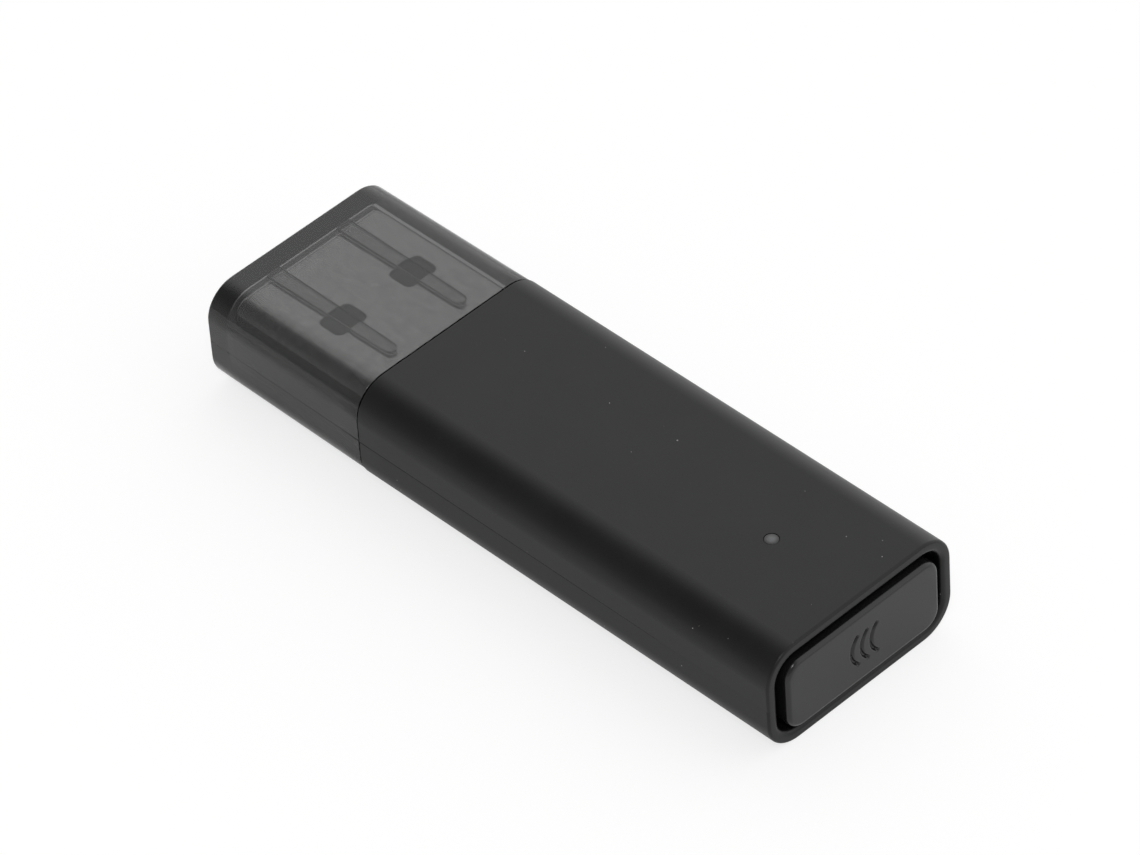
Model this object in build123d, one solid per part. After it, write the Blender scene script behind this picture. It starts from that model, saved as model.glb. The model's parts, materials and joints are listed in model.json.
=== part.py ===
from build123d import *
import math
import os

# A pocket USB stick, in millimetres. A smoke-clear cap pulls off a USB-A plug at one end, a
# one-piece black sleeve holds the board on its carrier, and a push button fills the other end.
# X runs along the stick towards the button, Y across it and Z up. The origin is on the surface
# that the stick lies on, under the middle of its length and width.

# --- Driving dimensions -------------------------------------------------------------------------

# Outside of the stick
stick_width = 15.0
stick_height = 7.45
corner_radius = 2.33
body_length = 33.32
cap_length = 13.02
junction_gap = 0.1

# Sleeve
side_wall = 0.8
roof_wall = 0.83
bore_corner_radius = 1.5
bore_mouth_rounding = 0.35
rim_rounding = 0.18
front_edge_rounding = 0.06
light_hole_radius = 0.475
light_hole_from_rear = 6.82
snap_pocket_depth = 0.35

# Cap
cap_inset = 0.05
cap_draft = 0.08
cap_roof_wall = 1.15
cap_side_wall = 1.25
cap_end_wall = 1.0
cap_tip_rounding = 0.18
cavity_corner_radius = 1.3
cavity_end_rounding = 0.3
rib_width = 1.05
rib_end_width = 0.8
rib_from_mouth = 1.4
rib_grip_gap = 0.02

# USB-A plug
plug_width = 12.0
plug_height = 4.5
plug_sheet = 0.3
plug_corner_radius = 0.95
plug_reach = 11.9
plug_tail = 4.8
tip_bevel_length = 0.4
tip_bevel_depth = 0.16
window_width = 2.44
window_length = 1.95
window_radius = 0.45
window_offset = 2.85
window_from_tip = 5.95
seam_width = 0.1
seam_depth = 0.1
seam_key_width = 1.6
seam_key_length = 1.3
leg_length = 1.4
leg_below_board = 0.5

# Plug inside
tongue_depth = 1.95
tongue_setback = 0.6
hollow_depth = 9.3
insulator_gap = 0.03
insulator_end_gap = 0.2
contact_width = 1.0
contact_thickness = 0.25
contact_proud = 0.06
power_contact_offset = 3.5
data_contact_offset = 1.0
power_contact_setback = 1.2
data_contact_setback = 2.2
contact_tip_rounding = 0.12
lead_drop = 0.725
lead_reach = 0.75
lead_foot = 1.2

# Collar around the plug
collar_recess = 0.15
collar_length = 2.25
collar_corner_gap = 0.06
collar_plug_gap = 0.05

# Board
board_plug_gap = 0.2
board_rear_setback = 4.4
board_thickness = 0.8
board_edge_gap = 0.05
board_corner_radius = 0.3
leg_notch_gap = 0.05
side_line_inset = 1.15

# Carrier
carrier_gap = 0.05
carrier_wall = 0.45
carrier_floor = 0.6
carrier_rim_above_board = 2.2
carrier_end_clear = 0.6
ledge_width = 0.55
stake_radius = 0.5
stake_gap = 0.05
stake_head_radius = 0.75
stake_head_height = 0.35
end_stop_length = 0.7
barb_length = 1.5
barb_height = 1.6
barb_proud = 0.3
barb_clear = 0.1
barb_from_rear = 8.6

# Button
button_side_gap = 0.5
button_roof_gap = 0.32
button_corner_radius = 1.2
button_proud = 0.3
button_face_drop = 0.05
button_edge_rounding = 0.3
button_face_depth = 1.9
button_travel = 0.25
flange_thickness = 0.8
flange_gap = 0.12
hook_leg_thickness = 0.9
hook_leg_height = 1.0
hook_leg_above_board = 0.4
hook_leg_gap = 0.1
hook_length = 0.9
hook_proud = 0.4
hook_reach = 2.7
hook_catch_gap = 0.02
hook_side_gap = 0.12
boss_width = 2.2
boss_height = 1.1
press_gap = 0.02
arc_mark_radius = 1.47
arc_mark_height = 2.15
arc_mark_pitch = 0.79
arc_mark_count = 3
arc_groove_width = 0.28
arc_groove_depth = 0.18

# Push switch on the board's rear edge
switch_width = 4.5
switch_length = 3.0
switch_height = 1.5
switch_from_board_end = 0.4
switch_floor = 0.25
switch_lip = 0.55
dome_room = 1.22
plunger_width = 1.9
plunger_height = 1.05
plunger_shoulder = 0.45
plunger_head_length = 0.6
plunger_gap = 0.05
plunger_reach = 1.0
plunger_stop_gap = 0.02
dome_radius = 0.55
dome_height = 0.3
dome_sheet = 0.08
frame_sheet = 0.12
frame_skirt = 1.0
terminal_width = 0.6
terminal_reach = 0.7
terminal_sheet = 0.15

# Light pipe over the status light
pipe_gap = 0.025
pipe_top_recess = 0.02
pipe_foot_width = 1.6
pipe_foot_height = 1.0
pipe_leg_length = 1.1
pipe_light_gap = 0.12

# Chips and small parts on the board
controller_size = 4.0
controller_height = 0.85
memory_length = 3.0
memory_width = 4.4
memory_height = 1.0
memory_lead_span = 6.4
memory_lead_pitch = 0.65
small_chip_length = 2.9
small_chip_width = 1.6
small_chip_height = 1.1
small_chip_lead_span = 2.8
small_chip_lead_pitch = 0.95
chip_lead_width = 0.3
chip_lead_sheet = 0.15
chip_standoff = 0.1
chip_bevel = 0.12
pin_one_radius = 0.22
pin_one_depth = 0.06
pin_one_inset = 0.66
memory_leads_per_side = 4
small_chip_leads_per_side = 3
crystal_length = 2.5
crystal_width = 2.0
crystal_base_height = 0.3
crystal_lid_height = 0.35
crystal_lid_inset = 0.2
light_length = 1.1
light_width = 1.0
light_base_height = 0.25
light_lens_height = 0.35
light_lens_length = 0.77
light_lens_width = 0.9
light_lens_bevel = 0.09
light_switch_gap = 0.55
light_clear = 0.3
antenna_length = 3.2
antenna_width = 1.6
antenna_height = 1.1
fuse_length = 2.0
fuse_width = 1.25
fuse_height = 0.6
passive_length = 1.0
passive_width = 0.5
passive_height = 0.45
capacitor_from_controller = 0.75
capacitor_spread = 1.5
crystal_capacitor_spread = 0.7
resistor_from_light_pipe = 1.1
resistor_from_leads = 0.6
antenna_inset = 0.15
terminal_share = 0.22
front_zone_length = 5.4
front_zone_middle = 3.95
rear_zone_length = 6.8
stake_from_zone = 0.95
test_pad_radius = 0.5
test_pad_thickness = 0.05
test_pad_pitch = 1.6
solder_reach = 0.35
solder_height = 0.2

# --- Places worked out from the sizes above -----------------------------------------------------

overall_length = cap_length + junction_gap + body_length + button_proud
cap_tip_x = -overall_length / 2
cap_mouth_x = cap_tip_x + cap_length
body_front_x = cap_mouth_x + junction_gap
body_rear_x = body_front_x + body_length
button_face_x = body_rear_x + button_proud
mid_z = stick_height / 2

bore_width = stick_width - 2 * side_wall
bore_height = stick_height - 2 * roof_wall
floor_z = roof_wall
ceiling_z = stick_height - roof_wall

plug_tip_x = body_front_x - plug_reach
plug_rear_x = body_front_x + plug_tail
plug_inner_width = plug_width - 2 * plug_sheet
plug_inner_height = plug_height - 2 * plug_sheet
plug_inner_radius = plug_corner_radius - plug_sheet
plug_ceiling_z = mid_z + plug_inner_height / 2
contact_bottom_z = plug_ceiling_z - tongue_depth
contact_top_z = contact_bottom_z + contact_thickness

board_top_z = contact_bottom_z - lead_drop
board_bottom_z = board_top_z - board_thickness
board_front_x = plug_rear_x + board_plug_gap
board_rear_x = body_rear_x - board_rear_setback
board_width = bore_width - 2 * (carrier_gap + carrier_wall + board_edge_gap)
side_line_y = board_width / 2 - side_line_inset

collar_rear_x = body_front_x + collar_recess + collar_length
insulator_rear_x = plug_rear_x - insulator_end_gap
lead_foot_x = insulator_rear_x + lead_reach

button_width = bore_width - 2 * button_side_gap
button_height = bore_height - 2 * button_roof_gap
button_mid_z = mid_z - button_face_drop
flange_rear_x = button_face_x - button_face_depth
flange_front_x = flange_rear_x - flange_thickness
carrier_rear_x = flange_front_x - carrier_end_clear
carrier_inner_y = bore_width / 2 - carrier_gap - carrier_wall
hook_catch_x = flange_front_x - hook_reach + hook_length
hook_leg_z = board_top_z + hook_leg_above_board

switch_rear_x = board_rear_x - switch_from_board_end
switch_front_x = switch_rear_x - switch_length
plunger_mid_z = board_top_z + switch_floor + plunger_gap + plunger_height / 2
plunger_tip_x = switch_rear_x + plunger_reach
dome_wall_x = switch_rear_x - switch_lip - dome_room

light_x = switch_front_x - light_switch_gap - pipe_leg_length / 2
light_hole_x = body_rear_x - light_hole_from_rear

front_zone_end = board_front_x + front_zone_length
rear_zone_start = board_rear_x - rear_zone_length
chips_end = light_x - light_length / 2 - light_clear
chip_gap = (chips_end - front_zone_end - controller_size - memory_length) / 3
controller_x = front_zone_end + chip_gap + controller_size / 2
memory_x = chips_end - chip_gap - memory_length / 2
front_parts_x = board_front_x + front_zone_middle
stake_xs = (front_zone_end + stake_from_zone, rear_zone_start - stake_from_zone)
crystal_x = sum(stake_xs) / 2


# --- Shapes used by several pieces --------------------------------------------------------------

def across(x):
    """Work plane square to the stick: its own X is the stick's Y, and its own Y is up."""
    return Plane(origin=(x, 0, 0), x_dir=(0, 1, 0), z_dir=(1, 0, 0))


def bar(x_start, x_end, width, height, radius, middle_z=mid_z):
    """Straight bar along the stick with a rounded rectangular section."""
    section = across(x_start) * Pos(0, middle_z) * RectangleRounded(width, height, radius)
    return extrude(section, x_end - x_start)


def tapered_bar(x_start, x_end, start_size, end_size, start_radius, end_radius):
    """Bar along the stick whose rounded rectangular section changes evenly between its ends."""
    start = across(x_start) * Pos(0, mid_z) * RectangleRounded(*start_size, start_radius)
    end = across(x_end) * Pos(0, mid_z) * RectangleRounded(*end_size, end_radius)
    return loft([start, end], ruled=True)


def block(x_start, x_end, y_start, y_end, z_start, z_end):
    """Rectangular block between two corners."""
    sizes = (x_end - x_start, y_end - y_start, z_end - z_start)
    corner = Pos(x_start, y_start, z_start)
    return corner * Box(*sizes, align=(Align.MIN, Align.MIN, Align.MIN))


def centred_block(x, y, length, width, z_start, z_end):
    """Rectangular block given by its middle in plan and its bottom and top."""
    return block(x - length / 2, x + length / 2, y - width / 2, y + width / 2, z_start, z_end)


def both_sides(piece):
    """A piece and its mirror image across the stick's middle."""
    return piece + mirror(piece, Plane.XZ)


def edges_at_x(solid, x):
    """Edges of a solid that lie wholly in the plane at x."""
    return solid.edges().filter_by_position(Axis.X, x - 1e-4, x + 1e-4)


# --- Sleeve, cap and collar ---------------------------------------------------------------------

def body_sleeve():
    """One-piece moulded tube with a light hole in its roof and two snap pockets inside."""
    tube = bar(body_front_x, body_rear_x, stick_width, stick_height, corner_radius)
    tube = fillet(edges_at_x(tube, body_rear_x), rim_rounding)
    tube = fillet(edges_at_x(tube, body_front_x), front_edge_rounding)
    tube -= bar(body_front_x, body_rear_x, bore_width, bore_height, bore_corner_radius)
    rear_rim = tube.faces().sort_by(Axis.X)[-1]
    tube = fillet(rear_rim.inner_wires()[0].edges(), bore_mouth_rounding)
    hole = Cylinder(light_hole_radius, roof_wall, align=(Align.CENTER, Align.CENTER, Align.MIN))
    tube -= Pos(light_hole_x, 0, ceiling_z) * hole
    rear = body_rear_x - barb_from_rear
    pocket = block(
        rear - barb_length - barb_clear,
        rear + barb_clear,
        bore_width / 2,
        bore_width / 2 + snap_pocket_depth,
        mid_z - barb_height / 2 - barb_clear,
        mid_z + barb_height / 2 + barb_clear,
    )
    return tube - both_sides(pocket)


def cap():
    """Clear cup that covers the plug, with two lengthwise ribs above it and two below."""
    mouth_width = stick_width - 2 * cap_inset
    mouth_height = stick_height - 2 * cap_inset
    tip_width = mouth_width - 2 * cap_draft
    tip_height = mouth_height - 2 * cap_draft
    shell = tapered_bar(
        cap_tip_x,
        cap_mouth_x,
        (tip_width, tip_height),
        (mouth_width, mouth_height),
        corner_radius - cap_draft,
        corner_radius - cap_inset,
    )
    shell = fillet(edges_at_x(shell, cap_tip_x), cap_tip_rounding)
    cavity_width = mouth_width - 2 * cap_side_wall
    cavity_height = mouth_height - 2 * cap_roof_wall
    cavity_end_x = cap_tip_x + cap_end_wall
    cavity = bar(cavity_end_x, cap_mouth_x, cavity_width, cavity_height, cavity_corner_radius)
    cavity = fillet(edges_at_x(cavity, cavity_end_x), cavity_end_rounding)
    shell -= cavity
    rib_start_x = cavity_end_x - cap_end_wall / 2
    rib_round_x = cap_mouth_x - rib_from_mouth - rib_end_width / 2
    rib_foot_z = mid_z + plug_height / 2 + rib_grip_gap
    rib_root_z = mid_z + cavity_height / 2 + cap_roof_wall / 2
    rib_sides = Polyline(
        (rib_start_x, window_offset + rib_width / 2),
        (rib_round_x, window_offset + rib_end_width / 2),
        (rib_round_x, window_offset - rib_end_width / 2),
        (rib_start_x, window_offset - rib_width / 2),
        close=True,
    )
    rib_plan = make_face(rib_sides) + Pos(rib_round_x, window_offset) * Circle(rib_end_width / 2)
    ribs = both_sides(Pos(0, 0, rib_foot_z) * extrude(rib_plan, rib_root_z - rib_foot_z))
    return shell + ribs + mirror(ribs, Plane.XY.offset(mid_z))


def front_collar():
    """Ring that closes the sleeve's front around the plug."""
    front_x = body_front_x + collar_recess
    ring = bar(front_x, collar_rear_x, bore_width, bore_height, bore_corner_radius + collar_corner_gap)
    opening = (plug_width + 2 * collar_plug_gap, plug_height + 2 * collar_plug_gap)
    return ring - bar(front_x, collar_rear_x, *opening, plug_corner_radius + collar_plug_gap)


# --- Plug ---------------------------------------------------------------------------------------

def plug_shell():
    """Folded sheet shell with a bevelled tip, four latch windows, a keyed seam and two legs."""
    bevel_x = plug_tip_x + tip_bevel_length
    inner_tip = (plug_inner_width - 2 * tip_bevel_depth, plug_inner_height - 2 * tip_bevel_depth)
    outer_tip = (plug_width - 2 * tip_bevel_depth, plug_height - 2 * tip_bevel_depth)
    outer = bar(bevel_x, plug_rear_x, plug_width, plug_height, plug_corner_radius)
    outer += tapered_bar(
        plug_tip_x,
        bevel_x,
        outer_tip,
        (plug_width, plug_height),
        plug_corner_radius - tip_bevel_depth,
        plug_corner_radius,
    )
    inner = bar(bevel_x, plug_rear_x, plug_inner_width, plug_inner_height, plug_inner_radius)
    inner += tapered_bar(
        plug_tip_x,
        bevel_x,
        inner_tip,
        (plug_inner_width, plug_inner_height),
        plug_inner_radius - tip_bevel_depth,
        plug_inner_radius,
    )
    shell = outer - inner
    window = extrude(RectangleRounded(window_length, window_width, window_radius), stick_height)
    shell -= both_sides(Pos(plug_tip_x + window_from_tip, window_offset, 0) * window)
    shell -= seam()
    leg = block(
        plug_rear_x,
        plug_rear_x + leg_length,
        plug_inner_width / 2,
        plug_width / 2,
        board_bottom_z - leg_below_board,
        mid_z + plug_height / 2 - plug_corner_radius,
    )
    return shell + both_sides(leg)


def seam():
    """Cut for the shell's seam: a line along its underside that steps round one square key."""
    bottom_z = mid_z - plug_height / 2
    key_start = plug_tip_x + window_from_tip - seam_key_length / 2
    key_end = key_start + seam_key_length
    half_key = seam_key_width / 2
    line = Polyline(
        (plug_tip_x, 0),
        (key_start, 0),
        (key_start, half_key),
        (key_end, half_key),
        (key_end, 0),
        (plug_rear_x, 0),
    )
    path = trace(line, line_width=seam_width)
    return Pos(0, 0, bottom_z) * extrude(path, seam_depth)


def contact(offset, setback):
    """Flat spring contact with a rounded tip, whose tail steps down to a foot on the board."""
    tip_x = plug_tip_x + setback
    foot_top_z = board_top_z + contact_thickness
    side = Polyline(
        (tip_x, contact_bottom_z),
        (lead_foot_x - contact_thickness, contact_bottom_z),
        (lead_foot_x - contact_thickness, board_top_z),
        (lead_foot_x + lead_foot, board_top_z),
        (lead_foot_x + lead_foot, foot_top_z),
        (lead_foot_x, foot_top_z),
        (lead_foot_x, contact_top_z),
        (tip_x, contact_top_z),
        close=True,
    )
    profile = Plane.XZ * make_face(side)
    strip = extrude(profile, contact_width / 2, both=True)
    tip_edges = strip.edges().filter_by(Axis.Y).sort_by(Axis.X)[:2]
    strip = fillet(tip_edges.sort_by(Axis.Z)[0], contact_tip_rounding)
    return Pos(0, offset, 0) * strip


def contacts():
    """The four contacts by name."""
    places = {
        "contact_vbus": (-power_contact_offset, power_contact_setback),
        "contact_data_minus": (-data_contact_offset, data_contact_setback),
        "contact_data_plus": (data_contact_offset, data_contact_setback),
        "contact_ground": (power_contact_offset, power_contact_setback),
    }
    return {name: contact(*place) for name, place in places.items()}


def plug_insulator():
    """Moulded block in the shell, with a tongue under its roof that holds the contacts in slots."""
    width = plug_inner_width - 2 * insulator_gap
    height = plug_inner_height - 2 * insulator_gap
    radius = plug_inner_radius
    block_front_x = plug_tip_x + hollow_depth
    core = bar(plug_tip_x + tongue_setback, insulator_rear_x, width, height, radius)
    tongue_bottom_z = contact_bottom_z + contact_proud
    half_width = plug_width / 2
    hollow = block(plug_tip_x, block_front_x, -half_width, half_width, 0, tongue_bottom_z)
    core -= hollow
    for piece in contacts().values():
        core -= piece
    return core


# --- Board and carrier --------------------------------------------------------------------------

def stakes(radius, z_start, z_end):
    """One upright cylinder at each heat stake."""
    post = Cylinder(radius, z_end - z_start, align=(Align.CENTER, Align.CENTER, Align.MIN))
    places = [(x, y) for x in stake_xs for y in (-side_line_y, side_line_y)]
    return [Pos(x, y, z_start) * post for x, y in places]


def main_board():
    """Circuit board with a notch for each shell leg and four stake holes."""
    length = board_rear_x - board_front_x
    outline = RectangleRounded(length, board_width, board_corner_radius)
    board = Pos(board_front_x + length / 2, 0, board_bottom_z) * extrude(outline, board_thickness)
    notch = block(
        board_front_x,
        plug_rear_x + leg_length + leg_notch_gap,
        plug_inner_width / 2 - leg_notch_gap,
        board_width / 2,
        board_bottom_z,
        board_top_z,
    )
    board -= both_sides(notch)
    for hole in stakes(stake_radius + stake_gap, board_bottom_z, board_top_z):
        board -= hole
    return board


def board_carrier():
    """Moulded tray that slides into the sleeve, holds the board and catches the button's hooks."""
    outer_width = bore_width - 2 * carrier_gap
    outer_height = bore_height - 2 * carrier_gap
    outer_radius = bore_corner_radius - carrier_gap
    rim_z = board_top_z + carrier_rim_above_board
    floor_top_z = floor_z + carrier_gap + carrier_floor
    outside = bar(collar_rear_x, carrier_rear_x, outer_width, outer_height, outer_radius)
    half_width = stick_width / 2
    tray = outside - block(collar_rear_x, carrier_rear_x, -half_width, half_width, rim_z, stick_height)
    hollow_height = 2 * (stick_height - floor_top_z)
    tray -= bar(
        collar_rear_x,
        carrier_rear_x,
        2 * carrier_inner_y,
        hollow_height,
        outer_radius - carrier_wall,
        floor_top_z + hollow_height / 2,
    )
    ledge_start_x = plug_rear_x + leg_length + leg_notch_gap
    ledge = block(
        ledge_start_x,
        board_rear_x,
        carrier_inner_y - ledge_width,
        carrier_inner_y + carrier_wall / 2,
        floor_top_z - carrier_floor / 2,
        board_bottom_z,
    )
    tray += both_sides(ledge)
    tray += block(
        board_rear_x + board_edge_gap,
        board_rear_x + board_edge_gap + end_stop_length,
        -carrier_inner_y - carrier_wall / 2,
        carrier_inner_y + carrier_wall / 2,
        floor_top_z - carrier_floor / 2,
        board_top_z,
    )
    for post in stakes(stake_radius, floor_top_z - carrier_floor / 2, board_top_z + stake_head_height):
        tray += post
    for head in stakes(stake_head_radius, board_top_z, board_top_z + stake_head_height):
        tray += head
    cradle = (plug_width + 2 * collar_plug_gap, plug_height + 2 * collar_plug_gap)
    tray -= bar(collar_rear_x, board_front_x, *cradle, plug_corner_radius + collar_plug_gap)
    hook_window = block(
        hook_catch_x - hook_length - button_travel - hook_side_gap,
        hook_catch_x + hook_catch_gap,
        carrier_inner_y - hook_leg_gap,
        bore_width / 2,
        hook_leg_z - hook_side_gap,
        hook_leg_z + hook_leg_height + hook_side_gap,
    )
    tray -= both_sides(hook_window)
    return (tray & outside) + both_sides(snap_barb())


def snap_barb():
    """Ramped catch on the carrier's side that springs into the sleeve's pocket."""
    rear_x = body_rear_x - barb_from_rear
    wall_y = bore_width / 2 - carrier_gap
    ramp = Polyline(
        (rear_x - barb_length, wall_y),
        (rear_x - barb_length, wall_y - carrier_wall / 2),
        (rear_x, wall_y - carrier_wall / 2),
        (rear_x, wall_y + barb_proud),
        (rear_x - barb_length / 4, wall_y + barb_proud),
        close=True,
    )
    return Pos(0, 0, mid_z - barb_height / 2) * extrude(make_face(ramp), barb_height)


# --- Button and light pipe ----------------------------------------------------------------------

def end_button():
    """Button moulding: marked face, guide flange, two hooked legs and the boss that presses."""
    face_section = (button_width, button_height, button_corner_radius)
    face = bar(flange_rear_x, button_face_x, *face_section, button_mid_z)
    face = fillet(edges_at_x(face, button_face_x), button_edge_rounding)
    for groove in arc_marks():
        face -= groove
    flange = bar(
        flange_front_x,
        flange_rear_x,
        bore_width - 2 * flange_gap,
        bore_height - 2 * flange_gap,
        bore_corner_radius - flange_gap,
    )
    leg_outer_y = carrier_inner_y - hook_leg_gap
    leg = block(
        flange_front_x - hook_reach,
        flange_front_x,
        leg_outer_y - hook_leg_thickness,
        leg_outer_y,
        hook_leg_z,
        hook_leg_z + hook_leg_height,
    )
    hook_start_x = hook_catch_x - hook_length
    hook_plan = Polyline(
        (hook_start_x, leg_outer_y - hook_leg_thickness / 2),
        (hook_catch_x, leg_outer_y - hook_leg_thickness / 2),
        (hook_catch_x, leg_outer_y + hook_proud),
        (hook_catch_x - hook_length / 3, leg_outer_y + hook_proud),
        (hook_start_x, leg_outer_y),
        close=True,
    )
    hook = Pos(0, 0, hook_leg_z) * extrude(make_face(hook_plan), hook_leg_height)
    boss = block(
        plunger_tip_x + press_gap,
        flange_front_x,
        -boss_width / 2,
        boss_width / 2,
        plunger_mid_z - boss_height / 2,
        plunger_mid_z + boss_height / 2,
    )
    return face + flange + both_sides(leg + hook) + boss


def arc_marks():
    """Three curved grooves in the button's face, one behind the other."""
    half_angle = math.degrees(math.asin(arc_mark_height / 2 / arc_mark_radius))
    middle = arc_mark_radius * (1 + math.cos(math.radians(half_angle))) / 2
    grooves = []
    for number in range(arc_mark_count):
        y = (number - (arc_mark_count - 1) / 2) * arc_mark_pitch + middle
        curve = CenterArc((y, button_mid_z), arc_mark_radius, 180 - half_angle, 2 * half_angle)
        groove_floor = across(button_face_x - arc_groove_depth)
        line = groove_floor * trace(curve, line_width=arc_groove_width)
        grooves.append(extrude(line, arc_groove_depth))
        for end in (curve @ 0, curve @ 1):
            dot = groove_floor * Pos(end.X, end.Y) * Circle(arc_groove_width / 2)
            grooves.append(extrude(dot, arc_groove_depth))
    return grooves


def light_pipe():
    """Clear guide: a leg over the status light, a foot under the roof and a post in its hole."""
    foot_top_z = ceiling_z - pipe_gap
    foot_bottom_z = foot_top_z - pipe_foot_height
    post_radius = light_hole_radius - pipe_gap
    light_top_z = board_top_z + light_base_height + light_lens_height
    leg_start_x = light_x - pipe_leg_length / 2
    foot_end_x = light_hole_x + pipe_foot_width / 2
    half_foot = pipe_foot_width / 2
    foot = block(leg_start_x, foot_end_x, -half_foot, half_foot, foot_bottom_z, foot_top_z)
    leg = centred_block(
        light_x, 0, pipe_leg_length, pipe_foot_width, light_top_z + pipe_light_gap, foot_bottom_z
    )
    post_height = stick_height - pipe_top_recess - foot_top_z
    post = Cylinder(post_radius, post_height, align=(Align.CENTER, Align.CENTER, Align.MIN))
    return foot + leg + Pos(light_hole_x, 0, foot_top_z) * post


# --- Push switch --------------------------------------------------------------------------------

def switch_base():
    """Switch moulding with a room for the dome and plunger, open at its top and rear."""
    top_z = board_top_z + switch_height
    base = block(
        switch_front_x, switch_rear_x, -switch_width / 2, switch_width / 2, board_top_z, top_z
    )
    room_half = plunger_width / 2 + plunger_shoulder + plunger_gap
    floor_top_z = board_top_z + switch_floor
    base -= block(dome_wall_x, switch_rear_x - switch_lip, -room_half, room_half, floor_top_z, top_z)
    mouth_half = plunger_width / 2 + plunger_gap
    lip_front_x = switch_rear_x - switch_lip
    return base - block(lip_front_x, switch_rear_x, -mouth_half, mouth_half, floor_top_z, top_z)


def switch_plunger():
    """Plunger with a shouldered head inside the switch and a nub that bears on the dome."""
    bottom_z = plunger_mid_z - plunger_height / 2
    top_z = plunger_mid_z + plunger_height / 2
    head_rear_x = switch_rear_x - switch_lip - plunger_stop_gap
    head_front_x = head_rear_x - plunger_head_length
    head_half = plunger_width / 2 + plunger_shoulder
    head = block(head_front_x, head_rear_x, -head_half, head_half, bottom_z, top_z)
    stem = block(head_rear_x, plunger_tip_x, -plunger_width / 2, plunger_width / 2, bottom_z, top_z)
    nub_start_x = dome_wall_x + dome_height + press_gap
    nub = across(nub_start_x) * Pos(0, plunger_mid_z) * Circle(plunger_height / 4)
    return head + stem + extrude(nub, head_front_x - nub_start_x)


def switch_dome():
    """Snap dome standing on edge against the wall of the switch."""
    outer_radius = (dome_radius**2 + dome_height**2) / (2 * dome_height)
    inner_radius = outer_radius - dome_sheet
    centre_x = dome_wall_x + dome_height - outer_radius
    wall_depth = dome_wall_x - centre_x
    outer_angle = math.degrees(math.acos(wall_depth / outer_radius))
    inner_angle = math.degrees(math.acos(wall_depth / inner_radius))
    outer_arc = CenterArc((centre_x, 0), outer_radius, 0, outer_angle)
    inner_arc = CenterArc((centre_x, 0), inner_radius, 0, inner_angle)
    lines = [Line(outer_arc @ 0, inner_arc @ 0), Line(outer_arc @ 1, inner_arc @ 1)]
    half_section = make_face([outer_arc, inner_arc, *lines])
    return Pos(0, 0, plunger_mid_z) * revolve(half_section, Axis.X, 360)


def switch_frame():
    """Pressed cover over the switch with a skirt down each side."""
    top_z = board_top_z + switch_height
    half = switch_width / 2
    lid = block(
        switch_front_x, switch_rear_x, -half - frame_sheet, half + frame_sheet, top_z, top_z + frame_sheet
    )
    skirt = block(switch_front_x, switch_rear_x, half, half + frame_sheet, top_z - frame_skirt, top_z)
    return lid + both_sides(skirt)


def switch_terminals():
    """Four solder tabs, two on each side of the switch."""
    tabs = Part()
    for x in (switch_front_x + terminal_width, switch_rear_x - terminal_width):
        tab = centred_block(
            x,
            switch_width / 2 + terminal_reach / 2,
            terminal_width,
            terminal_reach,
            board_top_z,
            board_top_z + terminal_sheet,
        )
        tabs += both_sides(tab)
    return tabs


# --- Parts soldered to the board ----------------------------------------------------------------

def gull_leads(x, y, body_width, span, pitch, per_side, mid_height):
    """Bent leads down both long sides of a chip, standing on the board."""
    bend = (span - body_width) / 4
    leads = []
    for side in (-1, 1):
        edge = body_width / 2
        out = span / 2
        top = board_top_z + mid_height
        shape = [
            (edge, top),
            (edge + bend + chip_lead_sheet, top),
            (edge + bend + chip_lead_sheet, board_top_z + chip_lead_sheet),
            (out, board_top_z + chip_lead_sheet),
            (out, board_top_z),
            (edge + bend, board_top_z),
            (edge + bend, top - chip_lead_sheet),
            (edge, top - chip_lead_sheet),
        ]
        outline = Polyline(*[(y + side * across_y, z) for across_y, z in shape], close=True)
        for number in range(per_side):
            lead_x = x + (number - (per_side - 1) / 2) * pitch
            face = across(lead_x) * make_face(outline)
            leads.append(extrude(face, chip_lead_width / 2, both=True))
    return leads


def moulded_chip(x, y, length, width, height, standoff):
    """Moulded chip body with bevelled top edges and a pin-one dimple."""
    top_z = board_top_z + standoff + height
    body = centred_block(x, y, length, width, board_top_z + standoff, top_z)
    body = chamfer(body.faces().sort_by(Axis.Z)[-1].edges(), chip_bevel)
    dimple = Cylinder(pin_one_radius, pin_one_depth, align=(Align.CENTER, Align.CENTER, Align.MAX))
    corner = Pos(x - length / 2 + pin_one_inset, y - width / 2 + pin_one_inset, top_z)
    return body - corner * dimple


def chips():
    """Controller, memory, regulator and surge protector by name, and the leads of all."""
    controller = (controller_size, controller_size, controller_height, 0)
    memory = (memory_length, memory_width, memory_height, chip_standoff)
    small = (small_chip_length, small_chip_width, small_chip_height, chip_standoff)
    regulator_y = side_line_y - small_chip_lead_span / 2 + small_chip_width / 2
    bodies = {
        "controller_chip": moulded_chip(controller_x, 0, *controller),
        "memory_chip": moulded_chip(memory_x, 0, *memory),
        "voltage_regulator": moulded_chip(front_parts_x, regulator_y, *small),
        "surge_protector": moulded_chip(front_parts_x, 0, *small),
    }
    memory_leads = (
        memory_width,
        memory_lead_span,
        memory_lead_pitch,
        memory_leads_per_side,
        memory_height / 2,
    )
    small_leads = (
        small_chip_width,
        small_chip_lead_span,
        small_chip_lead_pitch,
        small_chip_leads_per_side,
        small_chip_height / 2,
    )
    leads = gull_leads(memory_x, 0, *memory_leads)
    leads += gull_leads(front_parts_x, regulator_y, *small_leads)
    leads += gull_leads(front_parts_x, 0, *small_leads)
    return bodies, Compound(children=leads)


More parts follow.
